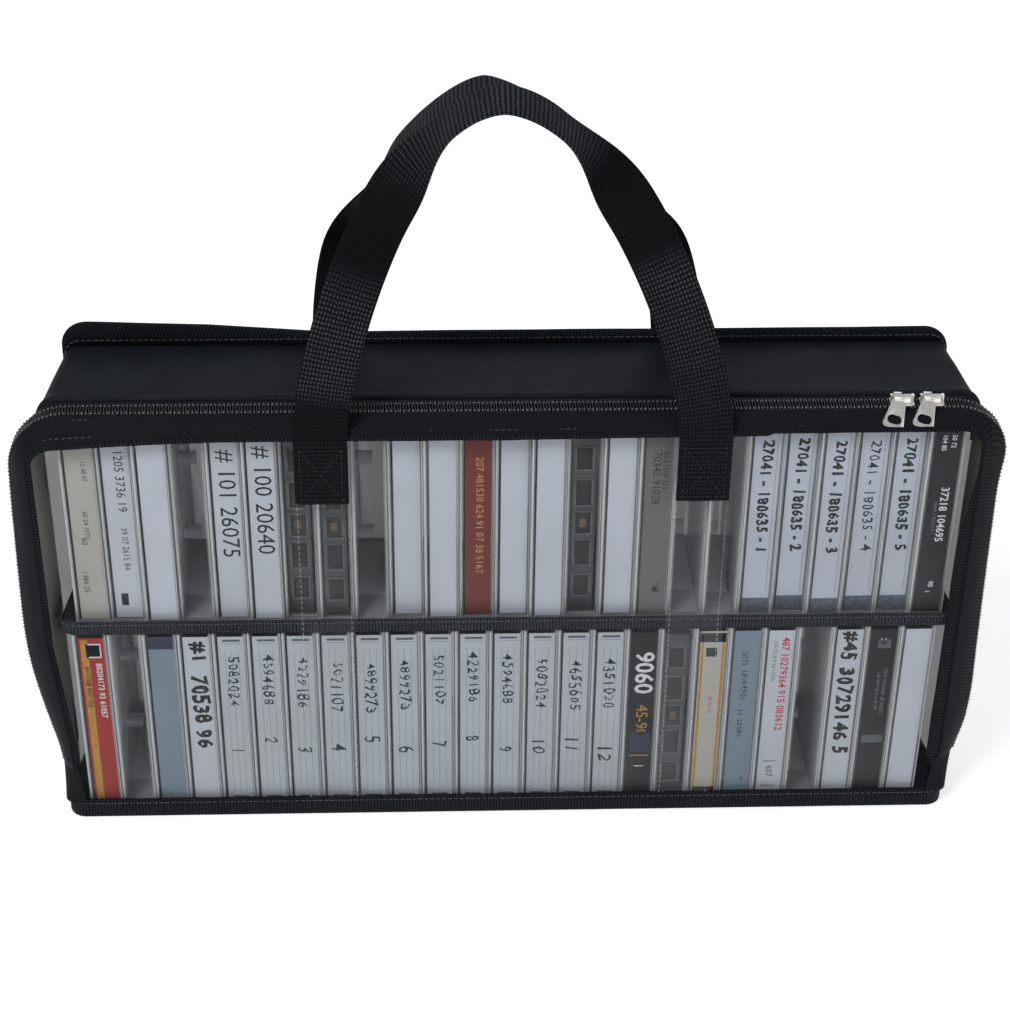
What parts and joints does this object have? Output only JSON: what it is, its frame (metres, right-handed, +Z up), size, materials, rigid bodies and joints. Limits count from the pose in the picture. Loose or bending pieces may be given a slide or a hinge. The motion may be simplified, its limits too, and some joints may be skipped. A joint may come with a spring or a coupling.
{
  "type": "zippered cassette carry bag",
  "caption": "Soft zippered carry bag with a clear front window, a shelf and rows of boxed cassettes, two webbing handles and a two-slider zip.",
  "frame": {"origin": "middle of the base, on the surface that the bag stands on", "axes": "+X along the bag to the right seen from the front, +Y from the window to the back, +Z up"},
  "size_m": [0.464, 0.0848, 0.3801],
  "materials": {
    "top_fabric": "coated cloth, slight sheen",
    "base_fabric": "coated cloth, matt",
    "edge_binding": "woven, matt",
    "zipper_tape": "woven, matt",
    "zipper_coil": "nylon coil, slight sheen",
    "webbing": "ribbed polypropylene weave",
    "shelf_cover": "coated cloth over a stiff board",
    "clear_vinyl": "clear, soft, glossy",
    "nickel_plate": "dull plated",
    "clear_box_plastic": "clear, hard, glossy",
    "tape_shell": "dark moulded",
    "white_card": "printed card",
    "lettered_card": "printed card",
    "ruled_card": "printed card",
    "pale_blue_card": "printed card",
    "cream_card": "printed card",
    "grey_card": "printed card",
    "dark_card": "printed card",
    "red_card": "printed card"
  },
  "bodies": {
    "bag": {"base_panel": "base_fabric", "bottom_binding": "edge_binding", "left_gusset": "clear_vinyl", "right_gusset": "clear_vinyl", "top_panel": "top_fabric", "back_panel": "clear_vinyl", "back_flange_binding": "edge_binding", "window_sill": "clear_vinyl", "lower_corner_tabs": "base_fabric", "fixed_zipper_tape": "zipper_tape", "fixed_zipper_coil": "zipper_coil", "shelf_board": "shelf_cover", "shelf_binding": "edge_binding", "sill_reinforcing_strips": "clear_vinyl", "back_reinforcing_strips": "clear_vinyl", "back_handle_feet": "webbing", "upper_box_lids": "clear_box_plastic", "upper_box_trays": "clear_box_plastic", "upper_tapes": "tape_shell", "lower_box_lids": "clear_box_plastic", "lower_box_trays": "clear_box_plastic", "lower_tapes": "tape_shell", "white_cards": "white_card", "lettered_cards": "lettered_card", "ruled_cards": "ruled_card", "pale_blue_cards": "pale_blue_card", "cream_cards": "cream_card", "grey_cards": "grey_card", "dark_cards": "dark_card", "red_cards": "red_card"},
    "flap": {"front_window": "clear_vinyl", "window_seam_border": "edge_binding", "flap_zipper_tape": "zipper_tape", "flap_zipper_coil": "zipper_coil", "front_reinforcing_strips": "clear_vinyl", "front_handle_feet": "webbing"},
    "front_handle": {"front_handle": "webbing"},
    "back_handle": {"back_handle": "webbing"},
    "left_slider": {"left_slider": "nickel_plate"},
    "right_slider": {"right_slider": "nickel_plate"},
    "left_pull": {"left_pull": "nickel_plate"},
    "right_pull": {"right_pull": "nickel_plate"}
  },
  "joints": [
    {"name": "flap_fold", "type": "hinge", "parent": "bag", "child": "flap", "pos_m": [0, -0.0405, 0.03], "axis": [1, 0, 0], "range_deg": [0, 95]},
    {"name": "front_handle_swing", "type": "hinge", "parent": "flap", "child": "front_handle", "pos_m": [0, -0.0424, 0.22215], "axis": [1, 0, 0], "range_deg": [0, 165]},
    {"name": "back_handle_swing", "type": "hinge", "parent": "bag", "child": "back_handle", "pos_m": [0, 0.0424, 0.22215], "axis": [-1, 0, 0], "range_deg": [0, 165]},
    {"name": "left_slider_run", "type": "slide", "parent": "bag", "child": "left_slider", "axis": [1, 0, 0], "range_m": [-0.38, 0]},
    {"name": "right_slider_run", "type": "slide", "parent": "bag", "child": "right_slider", "axis": [1, 0, 0], "range_m": [-0.002, 0.005]},
    {"name": "left_pull_swing", "type": "hinge", "parent": "left_slider", "child": "left_pull", "pos_m": [0.1787, -0.0275, 0.2366], "axis": [-1, 0, 0], "range_deg": [0, 200]},
    {"name": "right_pull_swing", "type": "hinge", "parent": "right_slider", "child": "right_pull", "pos_m": [0.1927, -0.0275, 0.2366], "axis": [-1, 0, 0], "range_deg": [0, 200]}
  ]
}
